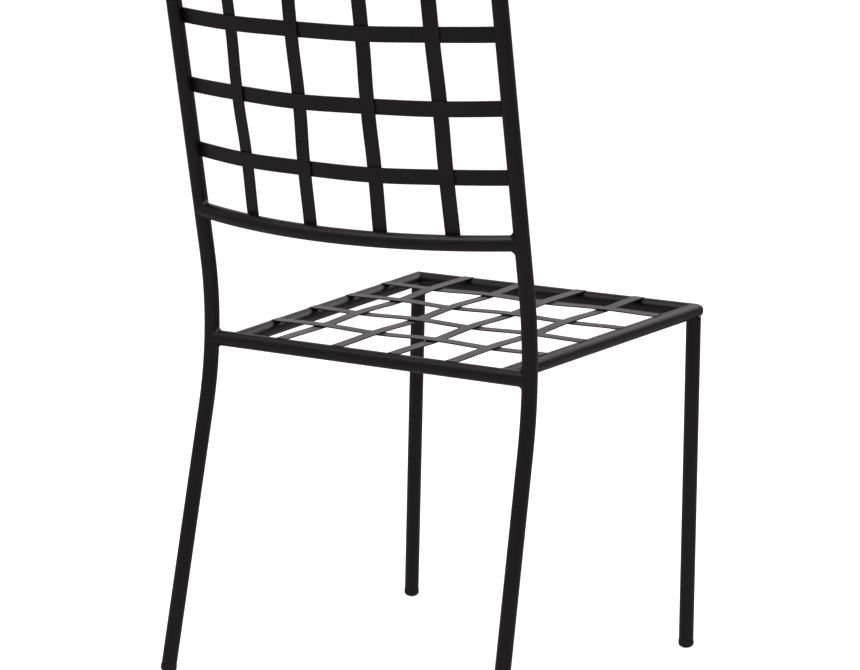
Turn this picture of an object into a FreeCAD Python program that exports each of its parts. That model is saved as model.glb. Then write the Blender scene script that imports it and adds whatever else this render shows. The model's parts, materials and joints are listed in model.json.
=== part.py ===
import FreeCAD, Part

import math
import os

import Sketcher
from FreeCAD import Placement, Rotation, Vector

# Armless dining chair of welded round steel tube with a woven flat strap seat and back.
# It faces -Y and +X is the sitter's left. The origin lies on the floor below the middle
# of the chair's overall box. All lengths are millimetres and all angles are degrees.

doc = FreeCAD.newDocument("strap_chair")

# Driving dimensions
SIZES = [
    ("tube_diameter", 20.0),
    ("tube_wall", 1.5),
    ("post_spacing", 485.0),
    ("bend_height", 447.0),
    ("bend_radius", 505.0),
    ("lower_rake", 10.8),
    ("upper_lean", 12.3),
    ("rear_foot_splay", 11.0),
    ("post_top_height", 948.5),
    ("post_top_flare", 1.0),
    ("seat_depth", 448.0),
    ("rear_rail_height", 435.7),
    ("front_rail_height", 463.7),
    ("front_leg_spacing", 443.5),
    ("front_foot_splay", 4.0),
    ("front_foot_rake", 3.0),
    ("side_rail_inset", 38.5),
    ("corner_trim", 1.2),
    ("low_rail_height", 605.5),
    ("low_rail_bow", 42.0),
    ("top_rail_bow", 33.0),
    ("row_gap_growth", 4.7),
    ("back_strap_width", 19.5),
    ("back_strap_thickness", 2.0),
    ("back_strap_pitch", 100.0),
    ("back_strap_shift", -7.0),
    ("upright_1_low_offset", -1.0),
    ("upright_1_high_offset", 4.0),
    ("upright_2_low_offset", 1.0),
    ("upright_2_high_offset", -1.0),
    ("upright_3_low_offset", -3.0),
    ("upright_3_high_offset", -3.0),
    ("upright_4_low_offset", 0.0),
    ("upright_4_high_offset", 4.0),
    ("back_strap_inset", 5.4),
    ("seat_strap_width", 16.5),
    ("seat_strap_thickness", 1.5),
    ("seat_strap_pitch_rear", 86.6),
    ("seat_strap_pitch_front", 91.5),
    ("seat_strap_lap", 1.0),
    ("seat_strap_proud", 0.8),
    ("weave_gap", 0.4),
    ("cope_gap", 0.15),
    ("weld_radius", 8.0),
    ("leg_weld_radius", 5.0),
    ("weld_bite", 0.3),
    ("glide_flange", 4.5),
    ("glide_dome", 6.5),
    ("glide_corner", 4.5),
    ("glide_overhang", 0.5),
    ("glide_flat", 0.5),
    ("plug_length", 14.0),
    ("plug_clearance", 0.1),
]

sheet = doc.addObject("Spreadsheet::Sheet", "Sizes")
for row, (alias, number) in enumerate(SIZES, start=1):
    sheet.set("A%d" % row, alias)
    sheet.set("B%d" % row, str(number))
    sheet.setAlias("B%d" % row, alias)
doc.recompute()


def size(alias):
    return float(sheet.get(alias))


# Sizes that several pieces share
tube_radius = size("tube_diameter") / 2
lean = math.radians(size("upper_lean"))
rake = math.radians(size("lower_rake"))
SIDES = (("left", 1), ("right", -1))

UP_POST = Vector(0, math.sin(lean), math.cos(lean))
BACKWARD = Vector(0, math.cos(lean), -math.sin(lean))


def unit(vector):
    return Vector(vector).normalize()


def blend(start, end, share):
    return start + (end - start) * share


# Points on the tube axes, first with y = 0 at the bend of the posts
def post_vertex(side):
    return Vector(side * size("post_spacing") / 2, 0, size("bend_height"))


def post_foot(side):
    out = size("post_spacing") / 2 + size("rear_foot_splay")
    return Vector(side * out, size("bend_height") * math.tan(rake), 0)


def post_top(side):
    out = size("post_spacing") / 2 + size("post_top_flare")
    rise = size("post_top_height") - size("bend_height")
    return Vector(side * out, rise * math.tan(lean), size("post_top_height"))


bend_turn = unit(post_vertex(1) - post_foot(1)).getAngle(unit(post_top(1) - post_vertex(1)))
bend_inset = size("bend_radius") * (1 / math.cos(bend_turn / 2) - 1)

# The rear rail crosses the posts where the bend lies furthest from its vertex
rear_rail_y = bend_inset
front_rail_y = rear_rail_y - size("seat_depth")

# The whole chair is moved along y so that the origin is in the middle of its box
rear_reach = post_top(1).y + size("top_rail_bow") * math.cos(lean) + tube_radius
front_reach = front_rail_y - size("front_foot_rake") - tube_radius - size("glide_overhang")
SHIFT = Vector(0, -(rear_reach + front_reach) / 2, 0)


def local_frame(origin, z_way, x_way):
    z_axis = unit(z_way)
    y_axis = unit(z_axis.cross(x_way))
    x_axis = y_axis.cross(z_axis)
    return Placement(origin + SHIFT, Rotation(x_axis, y_axis, z_axis, "ZXY"))


def origin_plane(body, role):
    for feature in body.Origin.OriginFeatures:
        if feature.Role == role:
            return feature


def add_sketch(body, name, role):
    sketch = body.newObject("Sketcher::SketchObject", name)
    sketch.AttachmentSupport = [(origin_plane(body, role), "")]
    sketch.MapMode = "FlatFace"
    return sketch


# A round section on the local XY plane, with its radius bound to the sheet. The seam line of
# the tube is turned away from the sides where other tubes are welded on.
SEAM_TURN = math.radians(45)
RADIUS_RULES = {
    "rod": "Sizes.tube_diameter / 2",
    "bore": "Sizes.tube_diameter / 2 - Sizes.tube_wall",
    "cope": "Sizes.tube_diameter / 2 + Sizes.cope_gap",
}
RADII = {
    "rod": tube_radius,
    "bore": tube_radius - size("tube_wall"),
    "cope": tube_radius + size("cope_gap"),
}


def round_section(body, kind):
    sketch = add_sketch(body, body.Name + "_section", "XY_Plane")
    circle = Part.Circle(Vector(0, 0, 0), Vector(0, 0, 1), RADII[kind])
    circle.AngleXU = SEAM_TURN
    sketch.addGeometry(circle, False)
    sketch.addConstraint(Sketcher.Constraint("Coincident", 0, 3, -1, 1))
    radius = sketch.addConstraint(Sketcher.Constraint("Radius", 0, RADII[kind]))
    sketch.setExpression("Constraints[%d]" % radius, RADIUS_RULES[kind])
    return sketch


def straight_body(name, kind, length):
    body = doc.addObject("PartDesign::Body", name)
    section = round_section(body, kind)
    pad = body.newObject("PartDesign::Pad", name + "_pad")
    pad.Profile = section
    pad.Length = length
    return body


def bent_path(body, first_run, radius, turn, last_run):
    """A straight run up the local Z axis, an arc towards local X, and a last straight run."""
    path = add_sketch(body, body.Name + "_path", "XZ_Plane")
    arc_end = Vector(radius * (1 - math.cos(turn)), first_run + radius * math.sin(turn), 0)
    heading = Vector(math.sin(turn), math.cos(turn), 0)
    edges = 0
    if first_run:
        path.addGeometry(Part.LineSegment(Vector(0, 0, 0), Vector(0, first_run, 0)), False)
        edges += 1
    centre = Vector(radius, first_run, 0)
    circle = Part.Circle(centre, Vector(0, 0, 1), radius)
    path.addGeometry(Part.ArcOfCircle(circle, math.pi - turn, math.pi), False)
    edges += 1
    if last_run:
        path.addGeometry(Part.LineSegment(arc_end, arc_end + heading * last_run), False)
        edges += 1
    return path, ["Edge%d" % (index + 1) for index in range(edges)]


def bent_body(name, kind, first_run, radius, turn, last_run):
    body = doc.addObject("PartDesign::Body", name)
    section = round_section(body, kind)
    path, edges = bent_path(body, first_run, radius, turn, last_run)
    doc.recompute()
    pipe = body.newObject("PartDesign::AdditivePipe", name + "_pipe")
    pipe.Profile = section
    pipe.Spine = (path, edges)
    return body


def cut(name, base, tools):
    result = doc.addObject("Part::Cut", name)
    result.Base = base
    if len(tools) == 1:
        result.Tool = tools[0]
        return result
    joined = doc.addObject("Part::MultiFuse", name + "_tools")
    joined.Shapes = tools
    result.Tool = joined
    return result


def place(objects, placement):
    for item in objects:
        item.Placement = placement


NODES = {}


def keep(node, item):
    item.Label = node
    NODES[node] = item


def mitre_block(name, corner, keep_way, other_way):
    """A block on the far side of the plane that halves the corner between two tubes."""
    block = doc.addObject("Part::Box", name)
    for edge in ("Length", "Width", "Height"):
        block.setExpression(edge, "Sizes.tube_diameter * 4")
    half = size("tube_diameter") * 2
    away = unit(unit(other_way) - unit(keep_way))
    across = unit(keep_way).cross(unit(other_way))
    frame = local_frame(corner, away, across)
    block.Placement = frame.multiply(Placement(Vector(-half, -half, 0), Rotation()))
    return block


# Rear posts: one bent tube each, from the foot to the top corner
def arc_bow(half_chord, bow, x):
    radius = (half_chord ** 2 + bow ** 2) / (2 * bow)
    return math.sqrt(radius ** 2 - x ** 2) - (radius - bow)


def bow_slope(half_chord, bow, x):
    radius = (half_chord ** 2 + bow ** 2) / (2 * bow)
    return -x / math.sqrt(radius ** 2 - x ** 2)


def bow_at(height):
    """Bow of the back at a height, shrinking evenly from the low rail to the top rail."""
    share = (height - size("low_rail_height")) / (size("post_top_height") - size("low_rail_height"))
    return size("low_rail_bow") + (size("top_rail_bow") - size("low_rail_bow")) * share


def post_point(side, height):
    """Point at a height on the axis of a post: on its upper run, or in its bend."""
    vertex = post_vertex(side)
    foot_way = unit(vertex - post_foot(side))
    top_way = unit(post_top(side) - vertex)
    inside = unit(top_way - foot_way)
    along = unit(top_way + foot_way)
    centre = vertex + inside * (size("bend_radius") / math.cos(bend_turn / 2))
    reach = math.hypot(inside.z, along.z) * size("bend_radius")
    level = min(1, (height - centre.z) / reach)
    angle = math.asin(level) + math.atan2(inside.z, along.z)
    if angle > bend_turn / 2:
        share = (height - vertex.z) / (post_top(side).z - vertex.z)
        return blend(vertex, post_top(side), share)
    return centre + (along * math.sin(angle) - inside * math.cos(angle)) * size("bend_radius")


glide_height = size("glide_flange") + size("glide_dome")
top_half = post_top(1).x
top_slope = math.atan(-bow_slope(top_half, size("top_rail_bow"), top_half))


def top_rail_way(side):
    """Direction of the top rail as it leaves a corner, towards the middle."""
    return Vector(-side * math.cos(top_slope), 0, 0) + BACKWARD * math.sin(top_slope)


post_copes = []
for word, side in SIDES:
    foot_way = unit(post_vertex(side) - post_foot(side))
    top_way = unit(post_top(side) - post_vertex(side))
    start = post_foot(side) + foot_way * ((glide_height - size("glide_flat")) / foot_way.z)
    tangent = size("bend_radius") * math.tan(bend_turn / 2)
    first_run = (post_vertex(side) - start).Length - tangent
    last_run = (post_top(side) - post_vertex(side)).Length - tangent + size("tube_diameter")
    frame = local_frame(start, foot_way, top_way - foot_way)
    parts = []
    for kind in RADII:
        name = "rear_post_%s_%s" % (word, kind)
        parts.append(bent_body(name, kind, first_run, size("bend_radius"), bend_turn, last_run))
    place(parts, frame)
    post_copes.append(parts[2])
    mitre = mitre_block("top_mitre_" + word, post_top(side), -top_way, top_rail_way(side))
    keep("rear_post_" + word, cut("rear_post_" + word, parts[0], [parts[1], mitre]))

# Top rail: a bowed tube, mitred to the posts at both ends
left_top = post_top(1)
spare = size("tube_diameter")
top_radius = (top_half ** 2 + size("top_rail_bow") ** 2) / (2 * size("top_rail_bow"))
parts = []
for kind in RADII:
    parts.append(bent_body("top_rail_" + kind, kind, spare, top_radius, 2 * top_slope, spare))
start_way = top_rail_way(1)
inward = -BACKWARD * math.cos(top_slope) + Vector(-math.sin(top_slope), 0, 0)
place(parts, local_frame(left_top - start_way * spare, start_way, inward))
tools = [parts[1]]
for word, side in SIDES:
    down = post_vertex(side) - post_top(side)
    tools.append(mitre_block("top_rail_mitre_" + word, post_top(side), top_rail_way(side), down))
top_cope = parts[2]
keep("top_back_rail", cut("top_back_rail", parts[0], tools))

# Low back rail: a bowed tube between the posts, its ends coped round them
low_half = post_point(1, size("low_rail_height")).x
low_slope = math.atan(-bow_slope(low_half, size("low_rail_bow"), low_half))
low_radius = (low_half ** 2 + size("low_rail_bow") ** 2) / (2 * size("low_rail_bow"))
parts = []
for kind in RADII:
    parts.append(bent_body("low_rail_" + kind, kind, 0, low_radius, 2 * low_slope, 0))
low_way = Vector(-math.cos(low_slope), 0, 0) + BACKWARD * math.sin(low_slope)
inward = -BACKWARD * math.cos(low_slope) + Vector(-math.sin(low_slope), 0, 0)
place(parts, local_frame(post_point(1, size("low_rail_height")), low_way, inward))
low_rod, low_bore, low_cope = parts
keep("low_back_rail", cut("low_back_rail", low_rod, [low_bore] + post_copes))


# Seat frame: straight tubes
def straight_parts(name, start, end, expression=None):
    parts = []
    for kind in RADII:
        body = straight_body("%s_%s" % (name, kind), kind, (end - start).Length)
        if expression:
            body.Tip.setExpression("Length", expression)
        parts.append(body)
    place(parts, local_frame(start, end - start, Vector(0, 0, 1)))
    return parts


def front_corner(side):
    return Vector(side * size("front_leg_spacing") / 2, front_rail_y, size("front_rail_height"))


def front_foot(side):
    foot = Vector(front_corner(side))
    foot.x += side * size("front_foot_splay")
    foot.y -= size("front_foot_rake")
    foot.z = 0
    return foot


def rear_seat_joint(side):
    half = size("post_spacing") / 2 - size("side_rail_inset")
    return Vector(side * half, rear_rail_y, size("rear_rail_height"))


def corner_round(name, corner, side):
    """What lies outside a ball in the outer quarter round a mitred corner."""
    block = doc.addObject("Part::Box", name + "_block")
    for edge in ("Length", "Width", "Height"):
        block.setExpression(edge, "Sizes.tube_diameter * 2")
    reach = size("tube_diameter") * 2
    left = corner.x if side > 0 else corner.x - reach
    base = Vector(left, corner.y - reach, corner.z - reach / 2)
    block.Placement = Placement(base + SHIFT, Rotation())
    ball = doc.addObject("Part::Sphere", name + "_ball")
    ball.setExpression("Radius", "Sizes.tube_diameter / sqrt(2) - Sizes.corner_trim")
    ball.Placement = Placement(corner + SHIFT, Rotation())
    return cut(name, block, [ball])


rail_ends = []
for side in (1, -1):
    rail_ends.append(Vector(side * size("post_spacing") / 2, rear_rail_y, size("rear_rail_height")))
rear_rod, rear_bore, rear_cope = straight_parts(
    "rear_rail", rail_ends[0], rail_ends[1], "Sizes.post_spacing")
keep("rear_seat_rail", cut("rear_seat_rail", rear_rod, [rear_bore] + post_copes))

front_way = Vector(1, 0, 0)
reach = Vector(spare, 0, 0)
front_rod, front_bore, front_cope = straight_parts(
    "front_rail", front_corner(1) + reach, front_corner(-1) - reach,
    "Sizes.front_leg_spacing + 2 * Sizes.tube_diameter")
front_mitres = []
corner_rounds = []
for word, side in SIDES:
    along_side = rear_seat_joint(side) - front_corner(side)
    block = mitre_block("front_mitre_" + word, front_corner(side), front_way * -side, along_side)
    front_mitres.append(block)
    corner_rounds.append(corner_round("corner_round_" + word, front_corner(side), side))
tools = [front_bore] + front_mitres + corner_rounds
keep("front_seat_rail", cut("front_seat_rail", front_rod, tools))

side_rods = []
side_copes = []
side_mitres = []
leg_rods = []
for index, (word, side) in enumerate(SIDES):
    corner = front_corner(side)
    joint = rear_seat_joint(side)
    ahead = unit(corner - joint)
    side_rod, side_bore, side_cope = straight_parts(
        "side_rail_" + word, joint, corner + ahead * spare)
    mitre = mitre_block("side_mitre_" + word, corner, -ahead, front_way * -side)
    tools = [side_bore, mitre, rear_cope, corner_rounds[index]]
    keep("side_seat_rail_" + word, cut("side_seat_rail_" + word, side_rod, tools))
    side_rods.append(side_rod)
    side_copes.append(side_cope)
    side_mitres.append(mitre)

    # Front leg, coped under the mitred corner
    foot = front_foot(side)
    way = unit(corner - foot)
    start = foot + way * ((glide_height - size("glide_flat")) / way.z)
    leg_rod, leg_bore, leg_cope = straight_parts("front_leg_" + word, start, corner)
    tools = [leg_bore, front_cope, side_cope]
    keep("front_leg_" + word, cut("front_leg_" + word, leg_rod, tools))
    leg_rods.append(leg_rod)


# Foot glides: a plug in the tube and a domed head with a small flat on the floor. The dome is
# a shallow crown between two round corners.
def glide_profile(body):
    rim = tube_radius + size("glide_overhang")
    plug = tube_radius - size("tube_wall") - size("plug_clearance")
    flange = size("glide_flange")
    dome = size("glide_dome")
    corner = size("glide_corner")
    low = flange + dome
    shoulder = rim - corner
    crown = (shoulder ** 2 + dome ** 2 - corner ** 2) / (2 * (dome - corner))
    sketch = add_sketch(body, body.Name + "_profile", "XZ_Plane")
    corners = [
        Vector(0, -low, 0),
        Vector(0, size("plug_length"), 0),
        Vector(plug, size("plug_length"), 0),
        Vector(plug, 0, 0),
        Vector(rim, 0, 0),
        Vector(rim, -flange, 0),
    ]
    for first, second in zip(corners, corners[1:]):
        sketch.addGeometry(Part.LineSegment(first, second), False)
    down = 1.5 * math.pi
    half_angle = math.atan2(shoulder, crown - dome)
    corner_circle = Part.Circle(Vector(shoulder, -flange, 0), Vector(0, 0, 1), corner)
    crown_circle = Part.Circle(Vector(0, crown - low, 0), Vector(0, 0, 1), crown)
    sketch.addGeometry(Part.ArcOfCircle(corner_circle, down + half_angle, 2 * math.pi), False)
    sketch.addGeometry(Part.ArcOfCircle(crown_circle, down, down + half_angle), False)
    return sketch


def glide(node, foot, way):
    body = doc.addObject("PartDesign::Body", node + "_body")
    profile = glide_profile(body)
    turned = body.newObject("PartDesign::Revolution", node + "_turned")
    turned.Profile = profile
    turned.ReferenceAxis = (profile, ["V_Axis"])
    turned.Angle = 360
    start = foot + way * ((glide_height - size("glide_flat")) / way.z)
    body.Placement = local_frame(start, way, Vector(1, 0, 0))
    floor = doc.addObject("Part::Box", node + "_floor")
    for edge in ("Length", "Width", "Height"):
        floor.setExpression(edge, "Sizes.tube_diameter * 4")
    half = size("tube_diameter") * 2
    floor.Placement = Placement(foot + SHIFT + Vector(-half, -half, -2 * half), Rotation())
    keep(node, cut(node, body, [floor]))


for word, side in SIDES:
    rear_way = unit(post_vertex(side) - post_foot(side))
    glide("rear_foot_glide_" + word, post_foot(side), rear_way)
    front_way = unit(front_corner(side) - front_foot(side))
    glide("front_foot_glide_" + word, front_foot(side), front_way)


# Woven straps: flat where two straps cross, with an even slope between the crossings
def wave(crossings, flat, amplitude, distance):
    """Height of a strap's middle at a distance along it; crossings hold (distance, sign)."""
    for (first, sign), (second, next_sign) in zip(crossings, crossings[1:]):
        if first <= distance <= second:
            begin = first + flat / 2
            end = second - flat / 2
            share = min(max((distance - begin) / (end - begin), 0), 1)
            ease = (1 - math.cos(math.pi * share)) / 2
            return amplitude * (sign + (next_sign - sign) * ease)
    return 0


SAMPLES = 8


def stations(crossings):
    """Evenly spaced distances in each bay between two crossings, with both ends."""
    result = [crossings[0][0]]
    for (first, _), (second, _) in zip(crossings, crossings[1:]):
        for step in range(1, SAMPLES + 1):
            result.append(first + (second - first) * step / SAMPLES)
    return result


def strip(middle, thickness_way, thickness, width_way, width):
    """A solid strap about a middle line, from two smooth edges and a straight extrusion."""
    start_shift = width_way * (-width / 2)
    edges = []
    ends = []
    for sign in (1, -1):
        points = []
        for point, way in zip(middle, thickness_way):
            points.append(point + start_shift + way * (sign * thickness / 2))
        curve = Part.BSplineCurve()
        curve.interpolate(points)
        edges.append(curve.toShape())
        ends.append((points[0], points[-1]))
    for index in (0, 1):
        edges.append(Part.LineSegment(ends[0][index], ends[1][index]).toShape())
    face = Part.Face(Part.Wire(Part.__sortEdges__(edges)))
    return face.extrude(width_way * width)


def add_strap(node, solid, placement, tools):
    raw = doc.addObject("Part::Feature", node + "_raw")
    raw.Shape = solid
    raw.Placement = placement
    if tools:
        keep(node, cut(node, raw, tools))
    else:
        keep(node, raw)


# Seat straps
seat_run = front_corner(1) - rear_seat_joint(1)
SEAT_UP = unit(Vector(0, -seat_run.z, seat_run.y) * -1)
seat_lift = tube_radius + size("seat_strap_proud") - size("seat_strap_thickness") / 2
seat_amplitude = (size("seat_strap_thickness") + size("weave_gap")) / 2
COUNT = 4
MIDDLE = (COUNT - 1) / 2


def long_strap_x(index, share):
    """Middle of a front-to-back strap at a share of the way from the rear rail to the front."""
    pitch = size("seat_strap_pitch_rear")
    pitch += (size("seat_strap_pitch_front") - pitch) * share
    return (MIDDLE - index) * pitch


def seat_point(x, share):
    rear = Vector(x, rear_rail_y, size("rear_rail_height"))
    front = Vector(x, front_rail_y, size("front_rail_height"))
    return blend(rear, front, share) + SEAT_UP * seat_lift


def cross_share(index):
    """Share of the seat depth at a cross strap, counted from the front."""
    return (COUNT - index) / (COUNT + 1)


def long_over(long_index, cross_index):
    return (long_index + cross_index) % 2 == 0


def seat_strap(node, start, end, crossings, rails):
    length = (end - start).Length
    lap = size("seat_strap_lap")
    knots = [(-lap, 0)] + [(0, 0)] + crossings + [(length, 0)] + [(length + lap, 0)]
    middle = []
    for distance in stations(knots):
        lift = wave(knots, size("seat_strap_width"), seat_amplitude, distance)
        middle.append(Vector(0, lift, distance))
    thickness_way = [Vector(0, 1, 0)] * len(middle)
    solid = strip(middle, thickness_way, size("seat_strap_thickness"),
                  Vector(1, 0, 0), size("seat_strap_width"))
    way = unit(end - start)
    frame = local_frame(start, way, SEAT_UP.cross(way))
    add_strap(node, solid, frame, rails)


for index in range(COUNT):
    start = seat_point(long_strap_x(index, 0), 0)
    end = seat_point(long_strap_x(index, 1), 1)
    length = (end - start).Length
    crossings = []
    for cross in reversed(range(COUNT)):
        sign = 1 if long_over(index, cross) else -1
        crossings.append((length * cross_share(cross), sign))
    rails = [rear_cope, front_cope]
    seat_strap("seat_long_strap_%d" % (index + 1), start, end, crossings, rails)

for cross in range(COUNT):
    share = cross_share(cross)
    half = blend(rear_seat_joint(1), front_corner(1), share).x
    start = seat_point(half, share)
    end = seat_point(-half, share)
    crossings = []
    for index in range(COUNT):
        sign = -1 if long_over(index, cross) else 1
        crossings.append((half - long_strap_x(index, share), sign))
    seat_strap("seat_cross_strap_%d" % (cross + 1), start, end, crossings, side_copes)

# Back straps
back_amplitude = (size("back_strap_thickness") + size("weave_gap")) / 2
ROWS = [("low", 0), ("middle", 1), ("high", 2)]


def row_height(row):
    """The rows divide the back from rail to rail, each gap larger than the one below it."""
    gaps = len(ROWS) + 1
    growth = size("row_gap_growth")
    total = size("post_top_height") - size("low_rail_height")
    first = (total - growth * gaps * (gaps - 1) / 2) / gaps
    return size("low_rail_height") + first * (row + 1) + growth * row * (row + 1) / 2


def upright_x(index, height):
    """Even spacing, moved by how far each end of a strap was set off it by hand."""
    even = (MIDDLE - index) * size("back_strap_pitch") + size("back_strap_shift")
    share = (height - size("low_rail_height")) / (size("post_top_height") - size("low_rail_height"))
    low = size("upright_%d_low_offset" % (index + 1))
    high = size("upright_%d_high_offset" % (index + 1))
    return even + low + (high - low) * share


def upright_over(index, row):
    """True where the upright strap passes on the rear side of the row."""
    return (index + row) % 2 == 1


def back_point(x, height, offset):
    """A point of the back's bowed middle surface, moved by an offset towards the rear."""
    axis = post_point(1, height)
    base = Vector(x, axis.y, axis.z)
    return base + BACKWARD * (arc_bow(axis.x, bow_at(height), x) + offset)


inset = -size("back_strap_inset")
for word, row in ROWS:
    height = row_height(row)
    half = post_point(1, height).x
    knots = [(-half, 0)]
    for index in reversed(range(COUNT)):
        knots.append((upright_x(index, height), -1 if upright_over(index, row) else 1))
    knots.append((half, 0))
    middle = []
    ways = []
    for x in stations(knots):
        ripple = wave(knots, size("back_strap_width"), back_amplitude, x)
        slope = bow_slope(half, bow_at(height), x)
        middle.append(back_point(x, height, inset + ripple))
        ways.append(unit(BACKWARD - Vector(slope, 0, 0)))
    solid = strip(middle, ways, size("back_strap_thickness"), UP_POST, size("back_strap_width"))
    add_strap("back_row_strap_" + word, solid, Placement(SHIFT, Rotation()), post_copes)

for index in range(COUNT):
    ends = []
    for height in (size("low_rail_height"), size("post_top_height")):
        ends.append(back_point(upright_x(index, height), height, inset))
    low, high = ends
    height = row_height(1)
    slope = bow_slope(post_point(1, height).x, bow_at(height), upright_x(index, height))
    frame = local_frame(low, high - low, Vector(1, 0, 0) + BACKWARD * slope)
    knots = [(size("low_rail_height"), 0)]
    for _, row in ROWS:
        knots.append((row_height(row), 1 if upright_over(index, row) else -1))
    knots.append((size("post_top_height"), 0))
    middle = []
    for height in stations(knots):
        ripple = wave(knots, size("back_strap_width"), back_amplitude, height)
        spot = back_point(upright_x(index, height), height, inset + ripple)
        point = frame.inverse().multVec(spot + SHIFT)
        middle.append(Vector(0, point.y, point.z))
    ways = [Vector(0, 1, 0)] * len(middle)
    solid = strip(middle, ways, size("back_strap_thickness"),
                  Vector(1, 0, 0), size("back_strap_width"))
    add_strap("back_upright_strap_%d" % (index + 1), solid, frame, [low_cope, top_cope])


# Weld beads: the concave fill that a ball leaves as it rolls round a joint. It rolls on two
# short rods just below the skins of the tubes, so that each bead meets its tubes at an edge.
SKIN_TOLERANCE = 0.001
bead_reach = tube_radius + size("weld_radius") + 1


def post_way(side, height):
    return unit(post_point(side, height + 1) - post_point(side, height - 1))


def short_rod(middle, way, seam_way, below, length):
    rod = Part.makeCylinder(below, length)
    rod.Placement = local_frame(middle, way, seam_way)
    return rod


def on_skin(edge, shape):
    """True if the middle of an edge lies on the outer face of a shape."""
    middle = edge.valueAt((edge.FirstParameter + edge.LastParameter) / 2)
    return shape.Shells[0].distToShape(Part.Vertex(middle))[0] < SKIN_TOLERANCE


def bead_shape(joint, host_way, end_way, radius, tubes):
    host_radius = tube_radius - size("weld_bite")
    end_radius = host_radius - size("cope_gap")
    low = joint - unit(host_way) * bead_reach
    host = short_rod(low, host_way, -end_way, host_radius, 2 * bead_reach)
    end = short_rod(joint, end_way, host_way, end_radius, bead_reach)
    joined = host.fuse(end)
    seams = []
    for edge in joined.Edges:
        if on_skin(edge, host) and on_skin(edge, end):
            seams.append(edge)
    filled = joined.makeFillet(radius, seams)
    for tube in tubes:
        filled = filled.cut(tube.Shape)
    return filled


def keep_bead(node, solids):
    bead = doc.addObject("Part::Feature", node + "_bead")
    bead.Shape = solids[0] if len(solids) == 1 else Part.makeCompound(solids)
    keep(node, bead)


doc.recompute()
wide_weld = size("weld_radius")
leg_weld = size("leg_weld_radius")
for index, (word, side) in enumerate(SIDES):
    post = post_copes[index]
    inward = Vector(-side, 0, 0)
    height = size("rear_rail_height")
    bead = bead_shape(
        post_point(side, height), post_way(side, height), inward, wide_weld, [post, rear_rod])
    keep_bead("weld_rear_rail_" + word, bead.Solids)

    height = size("low_rail_height")
    low_end = inward * math.cos(low_slope) + BACKWARD * math.sin(low_slope)
    bead = bead_shape(
        post_point(side, height), post_way(side, height), low_end, wide_weld, [post, low_rod])
    keep_bead("weld_low_back_rail_" + word, bead.Solids)

    joint = rear_seat_joint(side)
    corner = front_corner(side)
    bead = bead_shape(joint, inward, corner - joint, wide_weld, [rear_cope, side_rods[index]])
    keep_bead("weld_side_rail_" + word, bead.Solids)

    down = front_foot(side) - corner
    tubes = [front_cope, leg_rods[index], front_mitres[index]]
    front_half = bead_shape(corner, inward, down, leg_weld, tubes)
    tubes = [side_copes[index], leg_rods[index], side_mitres[index]]
    side_half = bead_shape(corner, joint - corner, down, leg_weld, tubes)
    keep_bead("weld_front_leg_" + word, front_half.Solids + side_half.Solids)

# Checks and export
doc.recompute()
for item in doc.Objects:
    if "Invalid" in item.State or "Error" in item.State:
        raise RuntimeError("object failed: " + item.Label)

os.makedirs("parts", exist_ok=True)
for node, item in NODES.items():
    shape = item.Shape
    if shape.isNull() or not shape.isValid() or shape.Volume <= 0:
        raise RuntimeError("bad shape: " + node)
    print(node, len(shape.Solids), round(shape.Volume))
for node, item in NODES.items():
    item.Shape.exportStep("parts/%s.step" % node)
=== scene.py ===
import json
import math

import bpy
from mathutils import Matrix, Vector


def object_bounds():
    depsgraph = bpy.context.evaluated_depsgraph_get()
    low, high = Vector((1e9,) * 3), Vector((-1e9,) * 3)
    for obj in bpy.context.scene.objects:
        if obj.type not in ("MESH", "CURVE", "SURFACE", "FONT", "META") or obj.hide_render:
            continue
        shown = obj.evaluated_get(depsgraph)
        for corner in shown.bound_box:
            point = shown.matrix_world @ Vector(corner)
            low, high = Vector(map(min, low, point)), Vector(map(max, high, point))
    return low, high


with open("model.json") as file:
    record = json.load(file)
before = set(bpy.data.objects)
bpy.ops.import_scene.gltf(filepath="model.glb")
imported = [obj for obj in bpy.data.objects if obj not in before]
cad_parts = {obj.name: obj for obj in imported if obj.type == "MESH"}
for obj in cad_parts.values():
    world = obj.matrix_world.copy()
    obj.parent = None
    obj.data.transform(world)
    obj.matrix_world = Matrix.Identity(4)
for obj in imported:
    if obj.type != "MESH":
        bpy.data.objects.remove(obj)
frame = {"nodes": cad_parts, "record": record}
cad_low, cad_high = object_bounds()
NODES = frame["nodes"]

# Camera of the photograph, behind the sitter's right shoulder: pixels, millimetres, metres, degrees
IMAGE_WIDTH = 860
FOCAL_PIXELS = 3010.17
SENSOR_WIDTH = 36.0
CAMERA_PLACE = Vector((-2.12766, 3.21665, 1.09209))
CAMERA_TURN = math.radians(33.600)
CAMERA_RISE = math.radians(9.544)
CAMERA_ROLL = math.radians(1.128)
NEAREST_SEEN = 0.05
FARTHEST_SEEN = 200

# Powder coat: grains in metres, levels as shares
CLOUD_GRAIN = 0.06
CLOUD_EDGES = (0.3, 0.7)
CLOUD_DARK = 0.85
CLOUD_PALE = 1.2
SPECK_GRAIN = 0.0012
SPECK_EDGES = (0.45, 0.75)
SPECK_DULLER = 0.04
SCUFF_GRAIN = 0.004
SCUFF_EDGES = (0.56, 0.66)
SCUFF_HEIGHTS = (0.005, 0.07)
SCUFF_SHARE = 0.5
SCUFF_PALER = 6
SCUFF_DULLER = 0.25
PEEL_HEIGHT = 0.00006
PEEL_STRENGTH = 0.5
TUBE_PEEL_GRAIN = 0.0016
STRAP_PEEL_GRAIN = 0.0012
TUBE_GLOSS = (0.30, 0.40)
STRAP_GLOSS = (0.30, 0.42)
COAT_BLACK = 0.006
COAT_IOR = 1.5

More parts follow.
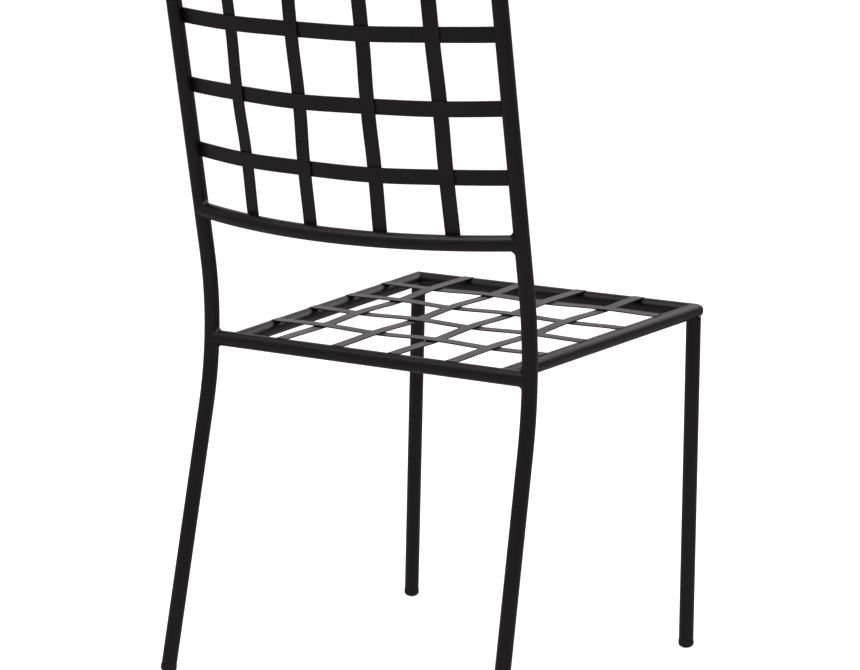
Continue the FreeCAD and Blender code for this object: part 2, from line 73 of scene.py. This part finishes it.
# Foot glides: heights above the floor and grains in metres
GLIDE_GRAIN = 0.0007
GLIDE_MOTTLE = 0.012
GLIDE_WEAR_HEIGHTS = (0.0005, 0.004)
GLIDE_DARK = 0.010
GLIDE_PALE = 0.016
GLIDE_WORN = 0.06
GLIDE_WORN_SHARE = 0.6
GLIDE_ROUGHNESS = 0.5
GLIDE_MOTTLE_DULLER = 0.15
GLIDE_WEAR_DULLER = 0.1
GLIDE_BUMP_HEIGHT = 0.00005
GLIDE_BUMP_STRENGTH = 0.6
GLIDE_IOR = 1.46

# Floor, sky and soft boxes: each box has its place, width and height in metres and its watts
FLOOR_HALF = 40.0
FLOOR_GREY = 0.78
FLOOR_GLOW = 0.80
FLOOR_MIRRORED = 0.38
SKY_LIGHT = 0.42
SKY_MIRRORED = 0.24
SKY_TINT = (1.0, 0.90, 0.96, 1.0)
LAMP_TINT = (1.0, 0.92, 0.95)
SOFT_BOXES = {
    "overhead_box": ((-0.2, 0.7, 3.6), 3.0, 2.4, 52),
    "rear_box": ((1.7, 2.0, 3.6), 2.6, 1.4, 10),
    "far_box": ((2.4, -3.0, 1.8), 2.4, 2.0, 9),
    "front_box": ((-0.6, -3.4, 2.6), 3.0, 1.6, 26),
}


class Value:
    """A shader socket that takes part in plain arithmetic."""

    def __init__(self, paint, socket):
        self.paint = paint
        self.socket = socket

    def _math(self, operation, first, second):
        return self.paint.node("ShaderNodeMath", {"operation": operation}, {0: first, 1: second})

    def __add__(self, other):
        return self._math("ADD", self, other)

    def __radd__(self, other):
        return self._math("ADD", other, self)

    def __sub__(self, other):
        return self._math("SUBTRACT", self, other)

    def __rsub__(self, other):
        return self._math("SUBTRACT", other, self)

    def __mul__(self, other):
        return self._math("MULTIPLY", self, other)

    def __rmul__(self, other):
        return self._math("MULTIPLY", other, self)

    def between(self, low, high):
        """0 below low, 1 above high and a smooth ramp in the middle."""
        settings = {"interpolation_type": "SMOOTHSTEP"}
        values = {"Value": self, "From Min": low, "From Max": high}
        return self.paint.node("ShaderNodeMapRange", settings, values)


class Paint:
    """The nodes of one material or world, built from plain calls."""

    def __init__(self, owner):
        owner.use_nodes = True
        self.owner = owner
        self.tree = owner.node_tree
        self.tree.nodes.clear()

    def node(self, kind, settings=None, values=None, output=0):
        made = self.tree.nodes.new(kind)
        for key, setting in (settings or {}).items():
            setattr(made, key, setting)
        for key, value in (values or {}).items():
            socket = made.inputs[key]
            if isinstance(value, Value):
                self.tree.links.new(value.socket, socket)
            else:
                socket.default_value = value
        return Value(self, made.outputs[output]) if made.outputs else None

    def place(self):
        """Position on the object, in metres."""
        return self.node("ShaderNodeTexCoord", output="Object")

    def ray(self, question):
        return self.node("ShaderNodeLightPath", output=question)

    def noise(self, spot, grain, detail=2.0, roughness=0.5):
        """Noise whose grains are about this many metres across."""
        values = {"Vector": spot, "Scale": 1 / grain, "Detail": detail, "Roughness": roughness}
        return self.node("ShaderNodeTexNoise", None, values)

    def blend(self, share, first, second):
        values = {"Factor": share, 6: first, 7: second}
        return self.node("ShaderNodeMix", {"data_type": "RGBA"}, values, output=2)

    def height_of(self, spot):
        return self.node("ShaderNodeSeparateXYZ", None, {"Vector": spot}, output="Z")

    def bump(self, height, distance, strength):
        values = {"Height": height, "Distance": distance, "Strength": strength}
        return self.node("ShaderNodeBump", None, values)

    def principled(self, **inputs):
        values = {key.replace("_", " "): value for key, value in inputs.items()}
        return self.node("ShaderNodeBsdfPrincipled", None, values)

    def show(self, surface, output="ShaderNodeOutputMaterial"):
        self.node(output, None, {"Surface": surface})
        return self.owner


def grey(level, warmth=0.0):
    return (level * (1 + warmth), level, level * (1 + warmth / 2), 1.0)


# Fine orange peel, slow changes of gloss, dull specks and scuffs near the floor
def powder_coat(name, peel_grain, gloss_low, gloss_high):
    paint = Paint(bpy.data.materials.new(name))
    spot = paint.place()
    cloud = paint.noise(spot, CLOUD_GRAIN)
    specks = paint.noise(spot, SPECK_GRAIN, detail=1.0).between(*SPECK_EDGES)
    near_floor = 1 - paint.height_of(spot).between(*SCUFF_HEIGHTS)
    scuff = paint.noise(spot, SCUFF_GRAIN, detail=4.0, roughness=0.65).between(*SCUFF_EDGES)
    scuff = scuff * near_floor
    dark = grey(COAT_BLACK * CLOUD_DARK, warmth=0.05)
    pale = grey(COAT_BLACK * CLOUD_PALE, warmth=0.08)
    tint = paint.blend(cloud.between(*CLOUD_EDGES), dark, pale)
    scuffed = grey(COAT_BLACK * SCUFF_PALER, warmth=0.04)
    tint = paint.blend(scuff * SCUFF_SHARE, tint, scuffed)
    gloss = gloss_low + (gloss_high - gloss_low) * cloud + specks * SPECK_DULLER
    gloss = gloss + scuff * SCUFF_DULLER
    peel = paint.bump(paint.noise(spot, peel_grain, detail=1.5), PEEL_HEIGHT, PEEL_STRENGTH)
    return paint.show(
        paint.principled(Base_Color=tint, Roughness=gloss, Normal=peel, IOR=COAT_IOR))


# Moulded matte plastic with a fine grain, worn where it rests on the floor
def glide_plastic():
    paint = Paint(bpy.data.materials.new("glide_plastic"))
    spot = paint.place()
    mottle = paint.noise(spot, GLIDE_MOTTLE)
    wear = 1 - paint.height_of(spot).between(*GLIDE_WEAR_HEIGHTS)
    tint = paint.blend(mottle, grey(GLIDE_DARK), grey(GLIDE_PALE))
    tint = paint.blend(wear * GLIDE_WORN_SHARE, tint, grey(GLIDE_WORN))
    roughness = GLIDE_ROUGHNESS + GLIDE_MOTTLE_DULLER * mottle + wear * GLIDE_WEAR_DULLER
    grain = paint.bump(paint.noise(spot, GLIDE_GRAIN), GLIDE_BUMP_HEIGHT, GLIDE_BUMP_STRENGTH)
    return paint.show(
        paint.principled(Base_Color=tint, Roughness=roughness, Normal=grain, IOR=GLIDE_IOR))


FINISHES = {
    "tube_coating": powder_coat("tube_powder_coat", TUBE_PEEL_GRAIN, *TUBE_GLOSS),
    "strap_coating": powder_coat("strap_powder_coat", STRAP_PEEL_GRAIN, *STRAP_GLOSS),
    "foot_glide": glide_plastic(),
}

for row in frame["record"]["subparts"]:
    node = NODES[row["node"]]
    node.data.materials.clear()
    node.data.materials.append(FINISHES[row["material_slot"]])


# Matte paper that the camera sees as white and the coating mirrors as a darker grey
def floor_paper():
    paint = Paint(bpy.data.materials.new("studio_floor"))
    paper = paint.blend(paint.ray("Is Glossy Ray"), grey(FLOOR_GREY), grey(FLOOR_MIRRORED))
    matte = paint.node("ShaderNodeBsdfDiffuse", None, {"Color": paper})
    strength = paint.ray("Is Camera Ray") * FLOOR_GLOW
    glow = paint.node("ShaderNodeEmission", None, {"Color": grey(1.0), "Strength": strength})
    return paint.show(paint.node("ShaderNodeAddShader", None, {0: matte, 1: glow}))


def studio_sky():
    paint = Paint(bpy.data.worlds.new("studio"))
    strength = SKY_LIGHT + (SKY_MIRRORED - SKY_LIGHT) * paint.ray("Is Glossy Ray")
    values = {"Color": SKY_TINT, "Strength": strength}
    return paint.show(
        paint.node("ShaderNodeBackground", None, values), "ShaderNodeOutputWorld")


def soft_box(name, place, aim, width, height, power):
    lamp = bpy.data.lights.new(name, "AREA")
    lamp.shape = "RECTANGLE"
    lamp.size = width
    lamp.size_y = height
    lamp.energy = power
    lamp.color = LAMP_TINT
    holder = bpy.data.objects.new(name, lamp)
    bpy.context.scene.collection.objects.link(holder)
    holder.location = place
    holder.rotation_euler = (Vector(aim) - Vector(place)).to_track_quat("-Z", "Y").to_euler()


def photo_camera():
    back = Vector((
        -math.sin(CAMERA_TURN) * math.cos(CAMERA_RISE),
        math.cos(CAMERA_TURN) * math.cos(CAMERA_RISE),
        math.sin(CAMERA_RISE),
    ))
    level_right = (-back).cross(Vector((0, 0, 1))).normalized()
    level_up = level_right.cross(-back)
    right = level_right * math.cos(CAMERA_ROLL) + level_up * math.sin(CAMERA_ROLL)
    up = level_up * math.cos(CAMERA_ROLL) - level_right * math.sin(CAMERA_ROLL)
    lens = bpy.data.cameras.new("photo_camera")
    lens.sensor_fit = "HORIZONTAL"
    lens.sensor_width = SENSOR_WIDTH
    lens.lens = FOCAL_PIXELS / IMAGE_WIDTH * SENSOR_WIDTH
    lens.clip_start = NEAREST_SEEN
    lens.clip_end = FARTHEST_SEEN
    camera = bpy.data.objects.new("photo_camera", lens)
    bpy.context.scene.collection.objects.link(camera)
    turn = Matrix((right, up, back)).transposed()
    camera.matrix_world = Matrix.Translation(CAMERA_PLACE) @ turn.to_4x4()
    return camera


bpy.ops.mesh.primitive_plane_add(size=2 * FLOOR_HALF, location=(0, 0, 0))
floor = bpy.context.object
floor.name = "studio_floor"
floor.data.materials.append(floor_paper())

scene = bpy.context.scene
scene.world = studio_sky()
middle = (cad_low + cad_high) / 2
for name, (place, width, height, power) in SOFT_BOXES.items():
    soft_box(name, place, middle, width, height, power)

bpy.context.scene.camera = photo_camera()
scene.view_settings.view_transform = "Standard"
